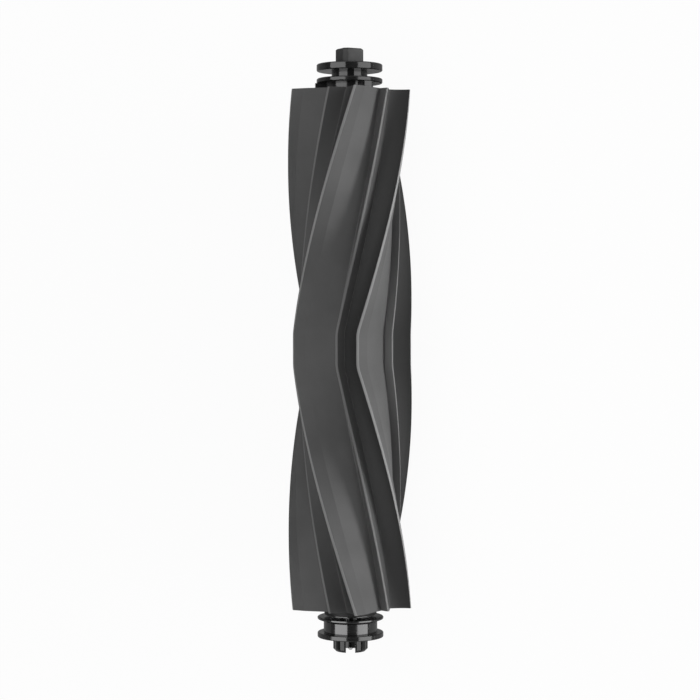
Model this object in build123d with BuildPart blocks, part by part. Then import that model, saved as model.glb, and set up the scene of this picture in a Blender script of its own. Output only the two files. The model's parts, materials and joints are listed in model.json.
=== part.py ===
from build123d import *
from math import asin, cos, degrees, radians, sin
import os

# Roller brush of a robot vacuum. Millimetres and degrees.
# The roller turns about Y: the square drive peg is at +Y and the bearing spool at -Y.
# The origin is on the axis, in the middle of the rubber.

# Rubber sleeve, five twisted vanes that meet in a V at a short straight middle
vane_count = 5
sleeve_length = 162.7
straight_length = 10.5
vane_twist = 70.0  # from the straight middle to either end
vane_start = 5.6  # a tip's place in the middle, turned from +Z towards +X
twist_steps = 7  # sections that carry the twist
tip_radius = 19.5
tip_land = 0.9  # width of the wiping edge
lip_drop = 2.3  # fall of the lip behind the wiping edge
lip_angle = 12.5
root_radius = 13.4  # bottom of the grooves
front_angle = 13.0  # foot of a vane's hollow front, before its tip in the middle
front_drift = 5.0  # and this much nearer to the tip at either end
front_hollow = 0.8
ridge_height = 2.5  # low second blade in front of each vane
ridge_land = 0.9
ridge_lead = 22.7  # the low blade runs this far before the tip in the middle
ridge_drift = 6.8  # and this much further at either end
valley_angle = 1.6  # floor between a vane's back and the next low blade

# Core tube that the rubber is moulded on
sleeve_wall = 2.4
core_wall = 2.2

# Drive end: square peg, two flanges and three dogs
peg_width = 7.3
peg_chamfer = 1.25
peg_length = 4.9
peg_turn = 29.0
peg_edge = 0.4
flange_radius = 10.4
drive_flange_thickness = 2.25
drive_neck_radius = 5.65
drive_neck_length = 2.3
guard_flange_thickness = 1.55
root_neck_radius = 7.4
root_neck_length = 2.3
flange_round = 0.45
dog_count = 3
dog_width = 3.2
dog_depth = 3.0  # how far the dogs reach into the core
dog_start = 34.0
tenon_length = 12.0
tenon_wall = 2.0

# Idle end: plug, axle, ball bearing and spool
plug_disc_radius = 8.25
plug_disc_thickness = 2.4
plug_length = 14.0
plug_boss_radius = 3.3
plug_lead = 0.5  # bevel that guides it into the core
cap_gap = 0.7  # clear space between the plug and the spool
axle_radius = 2.5
axle_hold = 12.0  # length of axle in the plug
nose_radius = 0.85
nose_inset = 0.2  # the domed end stands this far inside the hub
bearing_width = 4.0
bearing_radius = 6.5
ring_wall = 1.2
ball_count = 7
ball_radius = 1.0
cage_width = 2.6
cage_thickness = 0.8
shield_thickness = 0.3
shield_seat = 0.2  # depth of the shield's seat in the outer ring
shield_gap = 0.15  # running gap at the inner ring
bearing_inset = 0.4
housing_wall = 1.95
cap_flange_thickness = 0.8
cap_round = 0.3
collar_width = 0.7
collar_height = 0.8
spool_length = 3.4
spool_flange_thickness = 1.55
floor_relief = 0.3
hub_radius = 5.45
hub_length = 4.45
hub_wall = 1.35
hub_floor = 1.0
hub_chamfer = 0.8
notch_width = 2.9
notch_depth = 1.7
flute_count = 18
flute_depth = 0.35  # the flutes are square V-grooves

# Fits
press_clearance = 0.02  # between pieces that are pressed together
dog_clearance = 0.1
race_clearance = 0.04  # between the balls and both races
pocket_clearance = 0.06
nose_clearance = 0.3

# Places along the axis, worked out from the sizes above
pitch_angle = 360 / vane_count
sleeve_end = sleeve_length / 2
core_radius = root_radius - sleeve_wall
core_bore = core_radius - core_wall
tenon_radius = core_bore - press_clearance
dog_root = tenon_radius - tenon_wall / 2  # inside the core, the dogs grow out of the tenon's wall

guard_flange_base = sleeve_end + root_neck_length
drive_neck_base = guard_flange_base + guard_flange_thickness
drive_flange_base = drive_neck_base + drive_neck_length
peg_base = drive_flange_base + drive_flange_thickness

plug_face = -sleeve_end - plug_disc_thickness
cap_face = plug_face - cap_gap
bearing_face = cap_face - bearing_inset
bearing_back = bearing_face - bearing_width
bearing_middle = (bearing_face + bearing_back) / 2
collar_base = cap_face - cap_flange_thickness
spool_top = collar_base - collar_width
spool_base = spool_top - spool_length
hub_base = spool_base - spool_flange_thickness
hub_end = hub_base - hub_length

housing_radius = bearing_radius + press_clearance
spool_radius = bearing_radius + housing_wall
collar_radius = spool_radius + collar_height
cap_rim_round = min(cap_round, (flange_radius - collar_radius) / 2)  # held by the ledge beside the collar
inner_ring_radius = axle_radius + press_clearance + ring_wall
outer_ring_bore = bearing_radius - ring_wall
ball_pitch_radius = (inner_ring_radius + outer_ring_bore) / 2
race_radius = ball_radius + race_clearance
pocket_radius = ball_radius + pocket_clearance
shield_outer_radius = outer_ring_bore + shield_seat - press_clearance
shield_inner_radius = inner_ring_radius + shield_gap


def polar(radius, angle):
    return (radius * cos(radians(angle)), radius * sin(radians(angle)))


def cross_plane(y, turn=0.0):
    return Plane(origin=(0, y, 0), x_dir=(sin(radians(turn)), 0, cos(radians(turn))), z_dir=(0, 1, 0))


def arc_angle(width, radius):
    return degrees(2 * asin(width / 2 / radius))


def vane_outline(share):
    ridge_radius = root_radius + ridge_height
    ridge_start = pitch_angle - ridge_lead - share * ridge_drift
    ridge_end = ridge_start + arc_angle(ridge_land, ridge_radius)
    front_width = front_angle - share * front_drift
    front_start = pitch_angle - front_width
    hollow_radius = (root_radius + tip_radius) / 2
    hollow_angle = pitch_angle - front_width / 2 + arc_angle(front_hollow, hollow_radius)
    for vane in range(vane_count):
        turn = vane * pitch_angle
        front_foot = polar(root_radius, turn + front_start)
        Polyline(
            polar(tip_radius, turn),
            polar(tip_radius, turn + arc_angle(tip_land, tip_radius)),
            polar(tip_radius - lip_drop, turn + lip_angle),
            polar(root_radius, turn + ridge_start - valley_angle),
            polar(root_radius, turn + ridge_start),
            polar(ridge_radius, turn + ridge_start),
            polar(ridge_radius, turn + ridge_end),
            front_foot,
        )
        ThreePointArc(
            front_foot,
            polar(hollow_radius, turn + hollow_angle),
            polar(tip_radius, turn + pitch_angle),
        )


# Rubber sleeve: one half lofted through turned sections, mirrored about the straight middle
helix_length = sleeve_end - straight_length / 2
with BuildPart() as rubber_sleeve:
    for step in range(twist_steps + 1):
        share = step / twist_steps
        height = straight_length / 2 + share * helix_length
        with BuildSketch(cross_plane(height, vane_start + share * vane_twist)):
            with BuildLine():
                vane_outline(share)
            make_face()
    loft()
    mirror(about=Plane.XZ)
    with BuildSketch(cross_plane(0, vane_start)):
        with BuildLine():
            vane_outline(0)
        make_face()
    extrude(amount=straight_length / 2, both=True)
    with BuildSketch(cross_plane(-sleeve_end)):
        Circle(core_radius)
    extrude(amount=sleeve_length, mode=Mode.SUBTRACT)
rubber_sleeve.part.label = "rubber_sleeve"

# Core tube, with notches at the drive end for the dogs
with BuildPart() as core_tube:
    with BuildSketch(cross_plane(-sleeve_end)):
        Circle(core_radius)
        Circle(core_bore, mode=Mode.SUBTRACT)
    extrude(amount=sleeve_length)
    with BuildSketch(cross_plane(sleeve_end, dog_start)):
        with PolarLocations((core_radius + core_bore) / 2, dog_count):
            Rectangle(core_wall * 2, dog_width + 2 * dog_clearance)
    extrude(amount=-dog_depth - dog_clearance, mode=Mode.SUBTRACT)
core_tube.part.label = "core_tube"

# Drive end cap: spool turned about the axis, then the square peg, and ribs that end in the dogs
with BuildPart() as drive_end_cap:
    with BuildSketch(Plane.XY):
        with BuildLine():
            Polyline(
                (0, peg_base),
                (flange_radius, peg_base),
                (flange_radius, drive_flange_base),
                (drive_neck_radius, drive_flange_base),
                (drive_neck_radius, drive_neck_base),
                (flange_radius, drive_neck_base),
                (flange_radius, guard_flange_base),
                (root_neck_radius, guard_flange_base),
                (root_neck_radius, sleeve_end),
                (tenon_radius, sleeve_end),
                (tenon_radius, sleeve_end - tenon_length),
                (tenon_radius - tenon_wall, sleeve_end - tenon_length),
                (tenon_radius - tenon_wall, sleeve_end - tenon_wall),
                (0, sleeve_end - tenon_wall),
                close=True,
            )
        make_face()
    revolve(axis=Axis.Y)
    fillet(drive_end_cap.edges().filter_by(GeomType.CIRCLE).group_by(SortBy.RADIUS)[-1], flange_round)
    with BuildSketch(cross_plane(peg_base, peg_turn)):
        peg_outline = Rectangle(peg_width, peg_width)
        chamfer(peg_outline.vertices(), peg_chamfer)
    extrude(amount=peg_length)
    chamfer(drive_end_cap.faces().sort_by(Axis.Y)[-1].edges(), peg_edge)
    with BuildSketch(cross_plane(guard_flange_base, dog_start)):
        with PolarLocations(core_radius / 2, dog_count):
            Rectangle(core_radius, dog_width)
        Circle(core_radius - dog_clearance, mode=Mode.INTERSECT)
    extrude(amount=-root_neck_length)
    with BuildSketch(cross_plane(sleeve_end, dog_start)):
        with PolarLocations((core_radius + dog_root) / 2, dog_count):
            Rectangle(core_radius - dog_root, dog_width)
        Circle(core_radius - dog_clearance, mode=Mode.INTERSECT)
    extrude(amount=-dog_depth)
drive_end_cap.part.label = "drive_end_cap"

# Idle end plug, with a boss that the inner ring of the bearing sits against
with BuildPart() as idle_end_plug:
    with BuildSketch(Plane.XY):
        with BuildLine():
            Polyline(
                (axle_radius + press_clearance, bearing_face),
                (plug_boss_radius, bearing_face),
                (plug_boss_radius, plug_face),
                (plug_disc_radius, plug_face),
                (plug_disc_radius, -sleeve_end),
                (tenon_radius, -sleeve_end),
                (tenon_radius, plug_length - sleeve_end),
                (axle_radius + press_clearance, plug_length - sleeve_end),
                close=True,
            )
        make_face()
    revolve(axis=Axis.Y)
    chamfer(idle_end_plug.faces().sort_by(Axis.Y)[-1].outer_wire().edges(), plug_lead)
idle_end_plug.part.label = "idle_end_plug"

# Axle: seat for the bearing, then a thin nose with a domed end
axle_top = plug_face + axle_hold
nose_end = hub_end + nose_inset
with BuildPart() as axle_pin:
    with BuildSketch(Plane.XY):
        with BuildLine():
            Polyline(
                (0, nose_end),
                (0, axle_top),
                (axle_radius, axle_top),
                (axle_radius, bearing_back),
                (nose_radius, bearing_back),
                (nose_radius, nose_end + nose_radius),
            )
            RadiusArc((nose_radius, nose_end + nose_radius), (0, nose_end), nose_radius)
        make_face()
    revolve(axis=Axis.Y)
axle_pin.part.label = "axle_pin"

# Bearing cap: flanged spool round the bearing and a fluted hub with a notch
with BuildPart() as bearing_cap:
    with BuildSketch(Plane.XY):
        with BuildLine():
            Polyline(
                (housing_radius, cap_face),
                (flange_radius, cap_face),
                (flange_radius, collar_base),
                (collar_radius, collar_base),
                (spool_radius, spool_top),
                (spool_radius, spool_base),
                (flange_radius, spool_base),
                (flange_radius, hub_base),
                (hub_radius, hub_base),
                (hub_radius, hub_end + hub_chamfer),
                (hub_radius - hub_chamfer, hub_end),
                (hub_radius - hub_wall, hub_end),
                (hub_radius - hub_wall, hub_base - hub_floor),
                (nose_radius + nose_clearance, hub_base - hub_floor),
                (nose_radius + nose_clearance, bearing_back - floor_relief),
                (outer_ring_bore, bearing_back - floor_relief),
                (outer_ring_bore, bearing_back),
                (housing_radius, bearing_back),
                close=True,
            )
        make_face()
    revolve(axis=Axis.Y)
    fillet(bearing_cap.edges().filter_by(GeomType.CIRCLE).group_by(SortBy.RADIUS)[-1], cap_rim_round)
    with BuildSketch(cross_plane(hub_end)):
        with Locations((hub_radius, 0)):
            Rectangle(hub_radius, notch_width)
    extrude(amount=notch_depth, mode=Mode.SUBTRACT)
    with BuildSketch(cross_plane(hub_base)):
        with PolarLocations(hub_radius, flute_count):
            RegularPolygon(flute_depth, 4)
    extrude(amount=-hub_length, mode=Mode.SUBTRACT)
bearing_cap.part.label = "bearing_cap"

# Bearing rings with a groove for the balls
with BuildPart() as bearing_outer_ring:
    with BuildSketch(Plane.XY):
        with Locations(((outer_ring_bore + bearing_radius) / 2, bearing_middle)):
            Rectangle(ring_wall, bearing_width)
        for face, side in ((bearing_face, -1), (bearing_back, 1)):
            with Locations((outer_ring_bore, face + side * shield_thickness / 2)):
                Rectangle(2 * shield_seat, shield_thickness, mode=Mode.SUBTRACT)
        with Locations((ball_pitch_radius, bearing_middle)):
            Circle(race_radius, mode=Mode.SUBTRACT)
    revolve(axis=Axis.Y)
bearing_outer_ring.part.label = "bearing_outer_ring"

with BuildPart() as bearing_inner_ring:
    with BuildSketch(Plane.XY):
        with Locations((inner_ring_radius - ring_wall / 2, bearing_middle)):
            Rectangle(ring_wall, bearing_width)
        with Locations((ball_pitch_radius, bearing_middle)):
            Circle(race_radius, mode=Mode.SUBTRACT)
    revolve(axis=Axis.Y)
bearing_inner_ring.part.label = "bearing_inner_ring"

with BuildPart() as bearing_balls:
    with Locations(cross_plane(bearing_middle)):
        with PolarLocations(ball_pitch_radius, ball_count):
            Sphere(ball_radius)
bearing_balls.part.label = "bearing_balls"

with BuildPart() as bearing_cage:
    with BuildSketch(cross_plane(bearing_middle)):
        Circle(ball_pitch_radius + cage_thickness / 2)
        Circle(ball_pitch_radius - cage_thickness / 2, mode=Mode.SUBTRACT)
    extrude(amount=cage_width / 2, both=True)
    with Locations(cross_plane(bearing_middle)):
        with PolarLocations(ball_pitch_radius, ball_count):
            Cylinder(pocket_radius, 2 * cage_thickness, rotation=(0, 90, 0), mode=Mode.SUBTRACT)
bearing_cage.part.label = "bearing_cage"

# Shields, one flush with each side of the bearing
shields = {}
for side, plane in (
    ("roller_side", cross_plane(bearing_face - shield_thickness)),
    ("hub_side", cross_plane(bearing_back)),
):
    with BuildPart() as shield:
        with BuildSketch(plane):
            Circle(shield_outer_radius)
            Circle(shield_inner_radius, mode=Mode.SUBTRACT)
        extrude(amount=shield_thickness)
    shield.part.label = f"bearing_shield_{side}"
    shields[side] = shield.part

os.makedirs("parts", exist_ok=True)
pieces = [
    rubber_sleeve.part,
    core_tube.part,
    drive_end_cap.part,
    idle_end_plug.part,
    axle_pin.part,
    bearing_cap.part,
    bearing_outer_ring.part,
    bearing_inner_ring.part,
    bearing_balls.part,
    bearing_cage.part,
    *shields.values(),
]
for piece in pieces:
    export_step(piece, f"parts/{piece.label}.step")
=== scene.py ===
import bpy
import bmesh
import json
from math import asin, cos, degrees, hypot, radians, sin
from mathutils import Euler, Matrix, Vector


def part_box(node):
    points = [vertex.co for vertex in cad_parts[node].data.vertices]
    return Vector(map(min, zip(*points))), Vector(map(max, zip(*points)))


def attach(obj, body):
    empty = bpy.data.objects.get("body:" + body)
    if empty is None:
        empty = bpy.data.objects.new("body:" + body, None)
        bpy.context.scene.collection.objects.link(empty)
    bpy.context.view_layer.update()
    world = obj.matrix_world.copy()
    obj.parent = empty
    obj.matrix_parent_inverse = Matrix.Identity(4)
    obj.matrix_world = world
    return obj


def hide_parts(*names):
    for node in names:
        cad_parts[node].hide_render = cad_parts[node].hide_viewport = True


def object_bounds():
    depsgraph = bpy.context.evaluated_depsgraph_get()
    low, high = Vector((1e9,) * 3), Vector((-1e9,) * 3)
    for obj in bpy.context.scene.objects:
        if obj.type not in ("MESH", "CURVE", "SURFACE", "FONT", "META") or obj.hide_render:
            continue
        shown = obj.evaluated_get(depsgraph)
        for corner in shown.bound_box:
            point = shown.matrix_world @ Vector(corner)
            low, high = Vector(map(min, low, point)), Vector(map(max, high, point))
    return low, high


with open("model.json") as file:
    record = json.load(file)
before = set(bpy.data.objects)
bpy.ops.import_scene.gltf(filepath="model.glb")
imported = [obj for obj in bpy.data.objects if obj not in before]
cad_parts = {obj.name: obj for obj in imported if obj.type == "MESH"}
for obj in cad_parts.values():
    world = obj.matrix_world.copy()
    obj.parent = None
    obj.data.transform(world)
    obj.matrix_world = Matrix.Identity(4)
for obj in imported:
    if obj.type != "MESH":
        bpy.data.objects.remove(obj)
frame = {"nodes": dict(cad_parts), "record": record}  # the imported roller, in metres, spin axis along Y
nodes = frame["nodes"]
cadBox = [list(corner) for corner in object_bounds()]
print("frame loaded:", len(nodes), "pieces")


def makeActive(piece):
    bpy.ops.object.select_all(action="DESELECT")
    piece.select_set(True)
    bpy.context.view_layer.objects.active = piece


def applyModifier(piece, kind, **settings):
    makeActive(piece)
    modifier = piece.modifiers.new(kind.lower(), kind)
    for name, value in settings.items():
        setattr(modifier, name, value)
    bpy.ops.object.modifier_apply(modifier=modifier.name)


# Rubber sleeve with its vanes, angles in degrees from +Z towards +X
# Corners are numbered from a vane's tip, in vaneOutline's order, and strips by their first corner
sleeve = {
    "vanes": 5,
    "start": 5.6,  # where one tip is in the middle of the roller
    "twist": 70.0,  # from the straight middle to either end
    "straightHalf": 0.00525,
    "bendHalf": 0.0015,  # the bend out of the straight middle is eased this far to either side
    "bendCuts": 4,
    "steps": 44,  # rings in each twisted half
    "tipLand": 0.0009,
    "lipDrop": 0.0023,
    "lipAngle": 12.5,
    "rootRadius": 0.0134,
    "frontAngle": 13.0,
    "frontDrift": 5.0,  # the front's foot comes this much nearer to the tip at the ends
    "frontHollow": 0.0008,
    "hollowCuts": 7,  # points across a hollow front
    "backEnds": (2, 3),  # corners beside a vane's wide back
    "backCuts": 5,
    "cutMark": -1,  # corner number of the cuts, which have no strip of their own
    "bladeHeight": 0.0025,  # low second blade before each vane
    "bladeLand": 0.0009,
    "bladeLead": 22.7,
    "bladeDrift": 6.8,  # extra lead at the ends
    "bladeDraft": 0.4,
    "valleyAngle": 1.6,
    "edgeRound": 0.00018,
    "roundCuts": 3,
    "roundShares": {0: 1.0, 1: 1.0, 2: 1.0, 3: 0.3, 4: 0.3, 5: 1.0, 6: 1.0, 7: 1.0},  # of edgeRound
    "smoothBelow": 35.0,
    "weld": 1e-6,  # points this close are one
    "endFacing": 0.9,  # faces turned this far along the axis are end faces
    "paintedLightStrips": {0: 1.0, 5: 0.4, 6: 0.06},  # tip, top and far side of the low blade: painted highlights on the tip and top, painted light on the far side
    "valleyStrips": (3, 4),  # valley and near side of the low blade, painted light that lifts the low blade's shadow, strongest in the middle
    "valleyPaintedLight": 0.4,
    "valleyReach": 0.055,  # from the middle to where the painted light ends
    "lipStrip": 1,  # between the tip and the wide back, given a little painted shade
    "lipPaintedShade": 0.1,
    "slopeStrip": 6,  # far side of the low blade
    "slopePaintedShade": 0.8,  # painted shade at the ends, none in the middle
    "frontStrip": 7,  # the front gets painted shade, from here to the next tip
    "footPaintedShade": (0.8, 0.1),  # painted shade at its foot, in the middle and at the ends
    "climbPower": 0.5,  # how soon the painted shade on the front deepens on the way up to the tip
}


def arcAngle(width, radius):
    return degrees(2 * asin(width / 2 / radius))


def crossPlace(radius, angle):
    return Vector((radius * sin(radians(angle)), 0, radius * cos(radians(angle))))


def vaneOutline(look, tipRadius, turn):
    pitch = 360 / look["vanes"]
    root = look["rootRadius"]
    bladeTop = root + look["bladeHeight"]
    bladeStart = pitch - look["bladeLead"]
    bladeEnd = bladeStart + arcAngle(look["bladeLand"], bladeTop)
    frontStart = pitch - look["frontAngle"]
    drift = -look["bladeDrift"]
    corners = [  # radius, angle, drift towards the next tip at the ends
        (tipRadius, 0, 0),
        (tipRadius, arcAngle(look["tipLand"], tipRadius), 0),
        (tipRadius - look["lipDrop"], look["lipAngle"], 0),
        (root, bladeStart - look["valleyAngle"], drift),
        (root, bladeStart, drift),
        (bladeTop, bladeStart + look["bladeDraft"], drift),
        (bladeTop, bladeEnd, drift),
        (root, frontStart, look["frontDrift"]),
    ]
    points = [(crossPlace(radius, turn + angle), shift) for radius, angle, shift in corners]
    foot = points[-1][0]
    tip = crossPlace(tipRadius, turn + pitch)
    middleRadius = (root + tipRadius) / 2
    hollow = arcAngle(look["frontHollow"], middleRadius)
    middle = crossPlace(middleRadius, turn + pitch - look["frontAngle"] / 2 + hollow)
    pull = 2 * middle - (foot + tip) / 2  # handle of the curve through that middle
    for cut in range(1, look["hollowCuts"] + 1):
        share = cut / (look["hollowCuts"] + 1)
        place = (1 - share) ** 2 * foot + 2 * share * (1 - share) * pull + share ** 2 * tip
        points.append((place, (1 - share) * look["frontDrift"]))
    return points


def extrudeAlong(distance):
    bpy.ops.mesh.extrude_region_move(TRANSFORM_OT_translate={"value": (0, distance, 0)})


def turnSelected(angle):  # without a window the operator turns the other way
    bpy.ops.transform.rotate(value=radians(-angle), orient_axis="Y", center_override=(0, 0, 0))


def driftSelected(piece, share):  # this step's share of each corner's own drift
    mesh = bmesh.from_edit_mesh(piece.data)
    driftMark = mesh.verts.layers.float["drift"]
    for vert in mesh.verts:
        if vert.select:
            vert.co.rotate(Euler((0, radians(vert[driftMark] * share), 0)))
    bmesh.update_edit_mesh(piece.data)


def radiusOf(vert):
    return hypot(vert.co.x, vert.co.z)


def setRadius(vert, radius):
    reach = radius / radiusOf(vert)
    vert.co = (vert.co.x * reach, vert.co.y, vert.co.z * reach)


def drawToBore(piece, boreRadius):
    mesh = bmesh.from_edit_mesh(piece.data)
    for vert in mesh.verts:
        if vert.select:
            setRadius(vert, boreRadius)
    bmesh.update_edit_mesh(piece.data)


def splitBacks(piece, look, boreRadius):  # cuts along the wide backs, and with them round the bore
    mesh = bmesh.from_edit_mesh(piece.data)
    cornerMark = mesh.verts.layers.int["corner"]
    bpy.ops.mesh.select_all(action="DESELECT")
    bpy.context.tool_settings.mesh_select_mode = (False, True, False)  # edges
    for edge in mesh.edges:
        edge.select_set({vert[cornerMark] for vert in edge.verts} == set(look["backEnds"]))
    uncut = len(mesh.verts)
    bmesh.update_edit_mesh(piece.data)
    bpy.ops.mesh.subdivide(number_cuts=look["backCuts"])
    mesh = bmesh.from_edit_mesh(piece.data)
    mesh.verts.ensure_lookup_table()
    cornerMark = mesh.verts.layers.int["corner"]
    for vert in mesh.verts[uncut:]:
        vert[cornerMark] = look["cutMark"]
        if radiusOf(vert) < boreRadius:  # a cut across the bore stands inside its circle
            setRadius(vert, boreRadius)
    bmesh.update_edit_mesh(piece.data)


def markRounding(piece, look, boreRadius):  # edges along the corners, none at the bore
    corner = [item.value for item in piece.data.attributes["corner"].data]
    outside = [radiusOf(vert) > boreRadius + look["weld"] for vert in piece.data.vertices]
    share = piece.data.attributes.new("bevel_weight_edge", "FLOAT", "EDGE")
    for edge in piece.data.edges:
        first, second = edge.vertices
        if outside[first] and outside[second] and corner[first] == corner[second]:
            share.data[edge.index].value = look["roundShares"].get(corner[first], 0.0)


def cleanMesh(piece, look):  # doubles merged, flat faces gone, normals outwards
    makeActive(piece)
    bpy.ops.object.mode_set(mode="EDIT")
    bpy.ops.mesh.select_all(action="SELECT")
    bpy.ops.mesh.remove_doubles(threshold=look["weld"])
    bpy.ops.mesh.dissolve_degenerate(threshold=look["weld"])
    bpy.ops.mesh.normals_make_consistent(inside=False)
    bpy.ops.object.mode_set(mode="OBJECT")


def markStrips(piece, look, endHeight, stripCount):  # strips run along the vanes, from corner to corner; painted light and shade are laid on them here
    corner = [item.value for item in piece.data.attributes["corner"].data]
    paintedLight = piece.data.attributes.new("paintedLight", "FLOAT", "CORNER")
    paintedShade = piece.data.attributes.new("paintedShade", "FLOAT", "CORNER")
    for face in piece.data.polygons:
        if abs(face.normal.y) > look["endFacing"]:
            continue
        ends = {corner[index] for index in face.vertices}
        strip = max(ends) if ends == {0, stripCount - 1} else min(ends)  # the last ends at a tip
        for loop in face.loop_indices:
            vert = piece.data.vertices[piece.data.loops[loop].vertex_index]
            height = abs(vert.co.y)
            endShare = height / endHeight
            paintedLight.data[loop].value = look["paintedLightStrips"].get(strip, 0.0)
            if strip in look["valleyStrips"]:
                paintedLight.data[loop].value = look["valleyPaintedLight"] * max(0, 1 - height / look["valleyReach"])
            if strip == look["lipStrip"]:
                paintedShade.data[loop].value = look["lipPaintedShade"]
            elif strip == look["slopeStrip"]:
                paintedShade.data[loop].value = look["slopePaintedShade"] * endShare
            elif strip >= look["frontStrip"]:
                climb = (corner[vert.index] or stripCount) - look["frontStrip"]
                climb /= stripCount - look["frontStrip"]  # 0 at the foot, 1 at the tip
                middlePaintedShade, endPaintedShade = look["footPaintedShade"]
                footPaintedShade = middlePaintedShade + (endPaintedShade - middlePaintedShade) * endShare
                paintedShade.data[loop].value = footPaintedShade + (1 - footPaintedShade) * climb ** look["climbPower"]


def buildSleeve(look):
    low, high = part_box("rubber_sleeve")
    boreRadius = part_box("core_tube")[1].x
    tipRadius = min(-low.x, high.x, -low.z, high.z)
    pitch = 360 / look["vanes"]
    ring = []
    for vane in range(look["vanes"]):
        ring += vaneOutline(look, tipRadius, look["start"] + vane * pitch)

    bpy.ops.object.select_all(action="DESELECT")
    bpy.ops.mesh.primitive_circle_add(vertices=len(ring), radius=tipRadius)
    piece = bpy.context.object
    piece.name = "vaneSleeve"
    bpy.ops.object.mode_set(mode="EDIT")
    bpy.context.tool_settings.mesh_select_mode = (True, False, False)  # points
    mesh = bmesh.from_edit_mesh(piece.data)
    driftMark = mesh.verts.layers.float.new("drift")
    cornerMark = mesh.verts.layers.int.new("corner")
    stripCount = len(ring) // look["vanes"]
    for index, (vert, (place, shift)) in enumerate(zip(mesh.verts, ring)):
        vert.co = place
        vert[driftMark] = shift
        vert[cornerMark] = index % stripCount
    bmesh.update_edit_mesh(piece.data)
    bpy.ops.mesh.select_all(action="SELECT")

    extrudeAlong(look["straightHalf"] - look["bendHalf"])
    rise = high.y - look["straightHalf"]
    ease = look["bendHalf"] / rise
    cuts = look["bendCuts"]
    bend = [(2 * ease / cuts, ease * (2 * cut + 1) / cuts ** 2) for cut in range(cuts)]
    step = (1 - ease) / look["steps"]
    for climb, share in bend + [(step, step)] * look["steps"]:  # shares of the rise and of the turn
        extrudeAlong(climb * rise)
        turnSelected(share * look["twist"])
        driftSelected(piece, share)
    extrudeAlong(0)  # end face, drawn in to the core
    drawToBore(piece, boreRadius)
    extrudeAlong(-high.y)  # bore, back to the middle
    splitBacks(piece, look, boreRadius)
    bpy.ops.object.mode_set(mode="OBJECT")

    applyModifier(piece, "MIRROR", use_axis=(False, True, False), merge_threshold=look["weld"])
    cleanMesh(piece, look)
    markStrips(piece, look, high.y, stripCount)
    markRounding(piece, look, boreRadius)
    applyModifier(
        piece, "BEVEL", width=look["edgeRound"], segments=look["roundCuts"],
        limit_method="WEIGHT", use_clamp_overlap=False,
    )
    cleanMesh(piece, look)
    bpy.ops.object.shade_smooth_by_angle(angle=radians(look["smoothBelow"]))
    applyModifier(piece, "WEIGHTED_NORMAL", keep_sharp=True)
    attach(piece, "roller")
    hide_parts("rubber_sleeve")
    print("sleeve modelled:", len(piece.data.polygons), "faces")
    return piece


# Finishes, all from nodes, on object coordinates in metres and the sleeve's own attributes
cloudBand = (0.35, 0.65)  # stretch of the noise's values that is used for slow clouding
grainBand = (0.3, 0.7)  # and for grain


def newFinish(name, **sockets):
    finish = bpy.data.materials.new(name)
    finish.use_nodes = True
    shader = finish.node_tree.nodes["Principled BSDF"]
    for socket, value in sockets.items():
        shader.inputs[socket.replace("_", " ")].default_value = value
    return finish, finish.node_tree, shader


def addNode(tree, kind, inputs=None, **settings):
    node = tree.nodes.new("ShaderNode" + kind)
    for name, value in settings.items():
        setattr(node, name, value)
    for socket, value in (inputs or {}).items():
        if isinstance(value, bpy.types.NodeSocket):
            tree.links.new(value, node.inputs[socket])
        else:
            node.inputs[socket].default_value = value
    return node


def objectPlaces(tree):
    return addNode(tree, "TexCoord").outputs["Object"]


def noiseOf(tree, places, scale, detail=3.0):
    return addNode(tree, "TexNoise", {"Vector": places, "Scale": scale, "Detail": detail}).outputs[0]


def spread(tree, value, fromLow, fromHigh, toLow=0.0, toHigh=1.0):
    sockets = {"Value": value, 1: fromLow, 2: fromHigh, 3: toLow, 4: toHigh}
    return addNode(tree, "MapRange", sockets).outputs["Result"]


def blendColours(tree, factor, first, second, mode="MIX"):  # 0, 6 and 7 are the factor and the colours
    sockets = {0: factor, 6: first, 7: second}
    return addNode(tree, "Mix", sockets, data_type="RGBA", blend_type=mode).outputs[2]


def addBump(tree, shader, height, depth):
    bump = addNode(tree, "Bump", {"Height": height, "Distance": depth})
    tree.links.new(bump.outputs["Normal"], shader.inputs["Normal"])


def grey(value):
    return (value, value, value, 1)


rubber = {
    "tone": (0.069, 0.081),  # darkest and lightest of the slow clouding
    "cloudScale": 70,
    "groovePaintedShade": 0.85,  # painted shade: grooves a little darker than the tips
    "paintedLightTone": 0.19,  # painted highlights on the tips and low blades, painted light in the valleys
    "paintedShadeTone": 0.02,  # painted shade on the fronts, darkest at the tip
    "grainScale": 2600,
    "grainDetail": 4.0,
    "grainDepth": 0.00003,
    "gloss": 0.12,
    "roughness": (0.50, 0.62),
}


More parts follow.
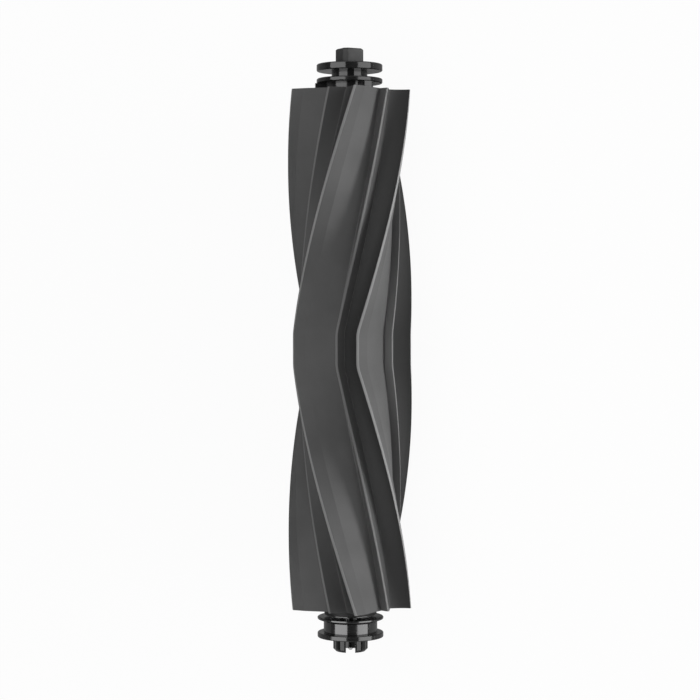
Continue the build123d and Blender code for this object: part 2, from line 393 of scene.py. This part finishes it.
def rubberFinish(look, rootRadius, tipRadius):
    finish, tree, shader = newFinish("vaneRubber", Specular_IOR_Level=look["gloss"])
    places = objectPlaces(tree)
    cloud = spread(tree, noiseOf(tree, places, look["cloudScale"]), *cloudBand)
    tone = blendColours(tree, cloud, grey(look["tone"][0]), grey(look["tone"][1]))
    # painted shade: darker towards the roots of the vanes
    across = addNode(tree, "VectorMath", {0: places, 1: (1, 0, 1)}, operation="MULTIPLY").outputs[0]
    reach = addNode(tree, "VectorMath", {0: across}, operation="LENGTH").outputs["Value"]
    depth = spread(tree, reach, rootRadius, tipRadius)
    paintedGrooveShade = blendColours(tree, depth, grey(look["groovePaintedShade"]), grey(1.0))
    tone = blendColours(tree, 1.0, tone, paintedGrooveShade, "MULTIPLY")
    # painted shade on the fronts and painted highlights and light on tips, low blades and valleys, from
    # the sleeve's attributes
    paintedShade = addNode(tree, "Attribute", attribute_name="paintedShade").outputs["Fac"]
    paintedLight = addNode(tree, "Attribute", attribute_name="paintedLight").outputs["Fac"]
    tone = blendColours(tree, paintedShade, tone, grey(look["paintedShadeTone"]))
    tone = blendColours(tree, paintedLight, tone, grey(look["paintedLightTone"]))
    tree.links.new(tone, shader.inputs["Base Color"])
    grain = noiseOf(tree, places, look["grainScale"], look["grainDetail"])
    tree.links.new(spread(tree, grain, *grainBand, *look["roughness"]), shader.inputs["Roughness"])
    addBump(tree, shader, grain, look["grainDepth"])
    return finish


mouldedBlack = {
    "reach": 0.1,  # from the middle to beyond either end
    "zones": [  # each from its height upwards
        {"from": -0.1, "gloss": 0.35, "roughness": 0.13, "tone": 0.0105},  # hub
        {"from": -0.0909, "gloss": 0.65, "roughness": 0.13, "tone": 0.0105},  # spool's outer flange
        {"from": -0.08935, "gloss": 0.95, "roughness": 0.13, "tone": 0.0105},  # spool's groove
        {"from": -0.084, "gloss": 0.2, "roughness": 0.5, "tone": 0.0105},  # plug beside the rubber
        {"from": 0.0, "gloss": 0.45, "roughness": 0.13, "tone": 0.0105},  # drive end
        {"from": 0.0898, "gloss": 0.2, "roughness": 0.5, "tone": 0.035},  # peg
    ],
    "cloudScale": 260,
    "toneClouds": (0.8, 1.2),  # times the tone
    "roughClouds": (-0.04, 0.04),  # added to the roughness
    "peelScale": 900,
    "peelDepth": 0.000004,
}


def zoneValue(tree, along, look, quality):
    ramp = addNode(tree, "ValToRGB", {"Fac": spread(tree, along, -look["reach"], look["reach"])})
    ramp.color_ramp.interpolation = "CONSTANT"
    steps = ramp.color_ramp.elements
    for index, zone in enumerate(look["zones"]):
        place = (zone["from"] / look["reach"] + 1) / 2
        step = steps[index] if index < len(steps) else steps.new(place)
        step.position = place
        step.color = grey(zone[quality])
    return ramp.outputs["Color"]


def mouldedFinish(look):
    finish, tree, shader = newFinish("glossyBlack")
    places = objectPlaces(tree)
    along = addNode(tree, "SeparateXYZ", {0: places}).outputs["Y"]
    cloud = spread(tree, noiseOf(tree, places, look["cloudScale"]), *cloudBand)
    tree.links.new(zoneValue(tree, along, look, "gloss"), shader.inputs["Specular IOR Level"])
    roughness = zoneValue(tree, along, look, "roughness")
    uneven = spread(tree, cloud, 0, 1, *look["roughClouds"])
    roughness = addNode(tree, "Math", {0: roughness, 1: uneven}, operation="ADD").outputs[0]
    tree.links.new(roughness, shader.inputs["Roughness"])
    clouds = spread(tree, cloud, 0, 1, *look["toneClouds"])
    tone = blendColours(tree, 1.0, zoneValue(tree, along, look, "tone"), clouds, "MULTIPLY")
    tree.links.new(tone, shader.inputs["Base Color"])
    addBump(tree, shader, noiseOf(tree, places, look["peelScale"]), look["peelDepth"])
    return finish


coreBlack = {
    "tone": (0.022, 0.034),
    "grainScale": 1400,
    "grainDepth": 0.00002,
    "gloss": 0.4,
    "roughness": (0.55, 0.7),
}


def coreFinish(look):
    finish, tree, shader = newFinish("mattBlackCore", Specular_IOR_Level=look["gloss"])
    places = objectPlaces(tree)
    grain = noiseOf(tree, places, look["grainScale"])
    tone = blendColours(tree, grain, grey(look["tone"][0]), grey(look["tone"][1]))
    tree.links.new(tone, shader.inputs["Base Color"])
    tree.links.new(spread(tree, grain, *grainBand, *look["roughness"]), shader.inputs["Roughness"])
    addBump(tree, shader, grain, look["grainDepth"])
    return finish


axleSteel = {"tone": (0.66, 0.76), "lineScale": 900, "lines": "BANDS", "roughness": (0.12, 0.24)}
bearingSteel = {"tone": (0.54, 0.64), "lineScale": 700, "lines": "RINGS", "roughness": (0.2, 0.34)}
toolLines = {"waver": 3.0, "detail": 2.0, "depth": 0.000004}  # on both steels


def steelFinish(name, look):  # tool lines run round the axis
    finish, tree, shader = newFinish(name, Metallic=1.0)
    places = objectPlaces(tree)
    sockets = {
        "Vector": places,
        "Scale": look["lineScale"],
        "Distortion": toolLines["waver"],
        "Detail": toolLines["detail"],
    }
    settings = {"wave_type": look["lines"], "bands_direction": "Y", "rings_direction": "Y"}
    lines = addNode(tree, "TexWave", sockets, **settings).outputs["Fac"]
    tone = blendColours(tree, lines, grey(look["tone"][0]), grey(look["tone"][1]))
    tree.links.new(tone, shader.inputs["Base Color"])
    tree.links.new(spread(tree, lines, 0, 1, *look["roughness"]), shader.inputs["Roughness"])
    addBump(tree, shader, lines, toolLines["depth"])
    return finish


cageNylon = {
    "tone": ((0.70, 0.67, 0.58, 1), (0.78, 0.76, 0.70, 1)),
    "cloudScale": 900,
    "cloudDepth": 0.00001,
    "glow": 0.1,  # light passing through the skin
    "roughness": (0.42, 0.55),
}


def nylonFinish(look):
    finish, tree, shader = newFinish("naturalNylon", Subsurface_Weight=look["glow"])
    places = objectPlaces(tree)
    cloud = noiseOf(tree, places, look["cloudScale"])
    tree.links.new(blendColours(tree, cloud, *look["tone"]), shader.inputs["Base Color"])
    tree.links.new(spread(tree, cloud, *grainBand, *look["roughness"]), shader.inputs["Roughness"])
    addBump(tree, shader, cloud, look["cloudDepth"])
    return finish


def coat(piece, finish):
    piece.data.materials.clear()
    piece.data.materials.append(finish)


vaneSleeve = buildSleeve(sleeve)
finishes = {
    "vane_rubber": rubberFinish(rubber, sleeve["rootRadius"], cadBox[1][0]),  # the tips reach furthest
    "core_plastic": coreFinish(coreBlack),
    "end_plastic": mouldedFinish(mouldedBlack),
    "axle_steel": steelFinish("turnedSteel", axleSteel),
    "bearing_steel": steelFinish("groundSteel", bearingSteel),
    "cage_plastic": nylonFinish(cageNylon),
}
coat(vaneSleeve, finishes["vane_rubber"])
for part in frame["record"]["subparts"]:
    coat(nodes[part["node"]], finishes[part["material_slot"]])
print("finishes laid on:", len(finishes))


camera = {
    "eye": (0.00003, 0.0179, 0.632),
    "roll": -0.1,  # the photo's axis leans a little
    "fieldOfView": 19.85,  # degrees across the square image
    "shift": -0.083,  # the photo is framed lower than its eye level
}


def placeCamera(look):  # straight above the roller, the drive peg at the top of the image
    data = bpy.data.cameras.new("photoCamera")
    data.angle = radians(look["fieldOfView"])
    data.shift_y = look["shift"]
    holder = bpy.data.objects.new("photoCamera", data)
    bpy.context.collection.objects.link(holder)
    holder.location = look["eye"]
    holder.rotation_euler = (0, 0, radians(look["roll"]))
    bpy.context.scene.camera = holder


# Soft boxes beside the roller, longer than it, angle from straight above towards +X
softBoxes = {
    "lowKey": {"angle": 84, "distance": 1.0, "width": 0.2, "length": 1.4, "power": 20, "matt": True},
    "leftFill": {"angle": -20, "distance": 0.6, "width": 0.5, "length": 1.1, "power": 2.8, "matt": True},
    "rightBox": {"angle": 54, "distance": 0.55, "width": 0.5, "length": 1.1, "power": 5.6, "matt": False},
    "leftBox": {"angle": -42, "distance": 0.55, "width": 0.58, "length": 1.1, "power": 7, "matt": False},
}


def addSoftBox(name, look):
    data = bpy.data.lights.new(name, "AREA")
    data.shape = "RECTANGLE"
    data.size = look["width"]
    data.size_y = look["length"]
    data.energy = look["power"]
    lamp = bpy.data.objects.new(name, data)
    bpy.context.collection.objects.link(lamp)
    lean = radians(look["angle"])
    lamp.location = (look["distance"] * sin(lean), 0, look["distance"] * cos(lean))
    lamp.rotation_euler = (0, lean, 0)
    lamp.visible_diffuse = look["matt"]  # two of them light, the other two only show in the gloss
    lamp.visible_glossy = not look["matt"]


def whiteShare(tree, seen, mirrored):  # how white a surface is to the camera, and in gloss and metal
    rays = addNode(tree, "LightPath").outputs
    share = 0.0
    for kind, part in (
        ("Is Camera Ray", seen),
        ("Is Glossy Ray", mirrored),
        ("Is Transmission Ray", mirrored),
    ):
        sockets = {0: rays[kind], 1: part, 2: share}
        share = addNode(tree, "Math", sockets, operation="MULTIPLY_ADD").outputs[0]
    return share


def dimInGloss(tree, tone, part):  # as if dark cards stood beside the roller
    rays = addNode(tree, "LightPath").outputs
    share = addNode(tree, "Math", {0: rays["Is Glossy Ray"], 1: part}, operation="MULTIPLY").outputs[0]
    return blendColours(tree, share, tone, grey(0))


room = {
    "overhead": 0.09,
    "horizon": 0.35,
    "ends": 0.9,  # pale walls beyond both ends of the roller
    "endsFrom": 0.65,  # share of the view along the axis where they begin
    "seen": 1.0,  # white to the camera
    "mirrored": 0.06,  # and so much of it in gloss and metal
    "dimmed": 0.6,  # how much darker the rest is in gloss
}


def paintRoom(look):
    world = bpy.data.worlds.new("studioRoom")
    world.use_nodes = True
    bpy.context.scene.world = world
    tree = world.node_tree
    direction = addNode(tree, "TexCoord").outputs["Generated"]
    gaze = addNode(tree, "SeparateXYZ", {0: direction}).outputs
    climb = spread(tree, gaze["Z"], 0.0, 1.0)
    tone = blendColours(tree, climb, grey(look["horizon"]), grey(look["overhead"]))
    tone = dimInGloss(tree, tone, look["dimmed"])
    along = addNode(tree, "Math", {0: gaze["Y"]}, operation="ABSOLUTE").outputs[0]
    tone = blendColours(tree, spread(tree, along, look["endsFrom"], 1.0), tone, grey(look["ends"]))
    tone = blendColours(tree, whiteShare(tree, look["seen"], look["mirrored"]), tone, grey(1.0))
    tree.links.new(tone, tree.nodes["Background"].inputs["Color"])


floorLook = {
    "size": 8.0,
    "tone": 0.85,
    "seen": 0.94,  # how much of the white hides the shadow
    "mirrored": 0.06,  # and how much of it shows in gloss and metal
    "dimmed": 0.6,
}


def layFloor(look):
    bpy.ops.object.select_all(action="DESELECT")
    bpy.ops.mesh.primitive_plane_add(size=look["size"], location=(0, 0, cadBox[0][2]))
    floor = bpy.context.object
    floor.name = "paleFloor"
    bpy.ops.object.transform_apply(location=True, rotation=True, scale=True)
    finish = bpy.data.materials.new("paleFloor")
    finish.use_nodes = True
    tree = finish.node_tree
    tree.nodes.remove(tree.nodes["Principled BSDF"])
    share = whiteShare(tree, look["seen"], look["mirrored"])
    tone = dimInGloss(tree, grey(look["tone"]), look["dimmed"])
    matt = addNode(tree, "BsdfDiffuse", {"Color": tone}).outputs[0]
    white = addNode(tree, "Emission", {"Color": grey(1.0)}).outputs[0]
    mixed = addNode(tree, "MixShader", {0: share, 1: matt, 2: white}).outputs[0]
    tree.links.new(mixed, tree.nodes["Material Output"].inputs["Surface"])
    coat(floor, finish)


placeCamera(camera)
for boxName, boxLook in softBoxes.items():
    addSoftBox(boxName, boxLook)
paintRoom(room)
layFloor(floorLook)
bpy.context.scene.view_settings.view_transform = "Standard"
print("studio set up")
